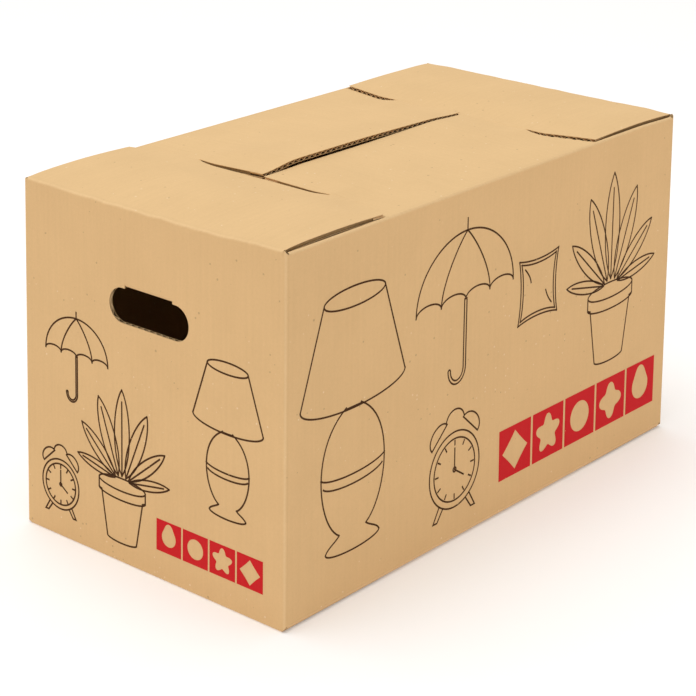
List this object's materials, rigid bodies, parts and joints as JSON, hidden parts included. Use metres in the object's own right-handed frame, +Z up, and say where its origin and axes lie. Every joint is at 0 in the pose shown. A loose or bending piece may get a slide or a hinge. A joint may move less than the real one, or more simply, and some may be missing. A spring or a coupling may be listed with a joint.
{
  "type": "book moving box",
  "caption": "Closed corrugated moving carton for books, with a tape-free woven lid and base and a grip hole with a folded-in tab in each short wall.",
  "frame": {"origin": "on the floor under the middle of the carton", "axes": "+X along the long side, +Y across the carton, +Z up to the lid"},
  "size_m": [0.6, 0.33, 0.35],
  "materials": {
    "kraft_board": "matte brown kraft corrugated board with printed fields"
  },
  "bodies": {
    "root": {"carton": "kraft_board"}
  },
  "joints": []
}
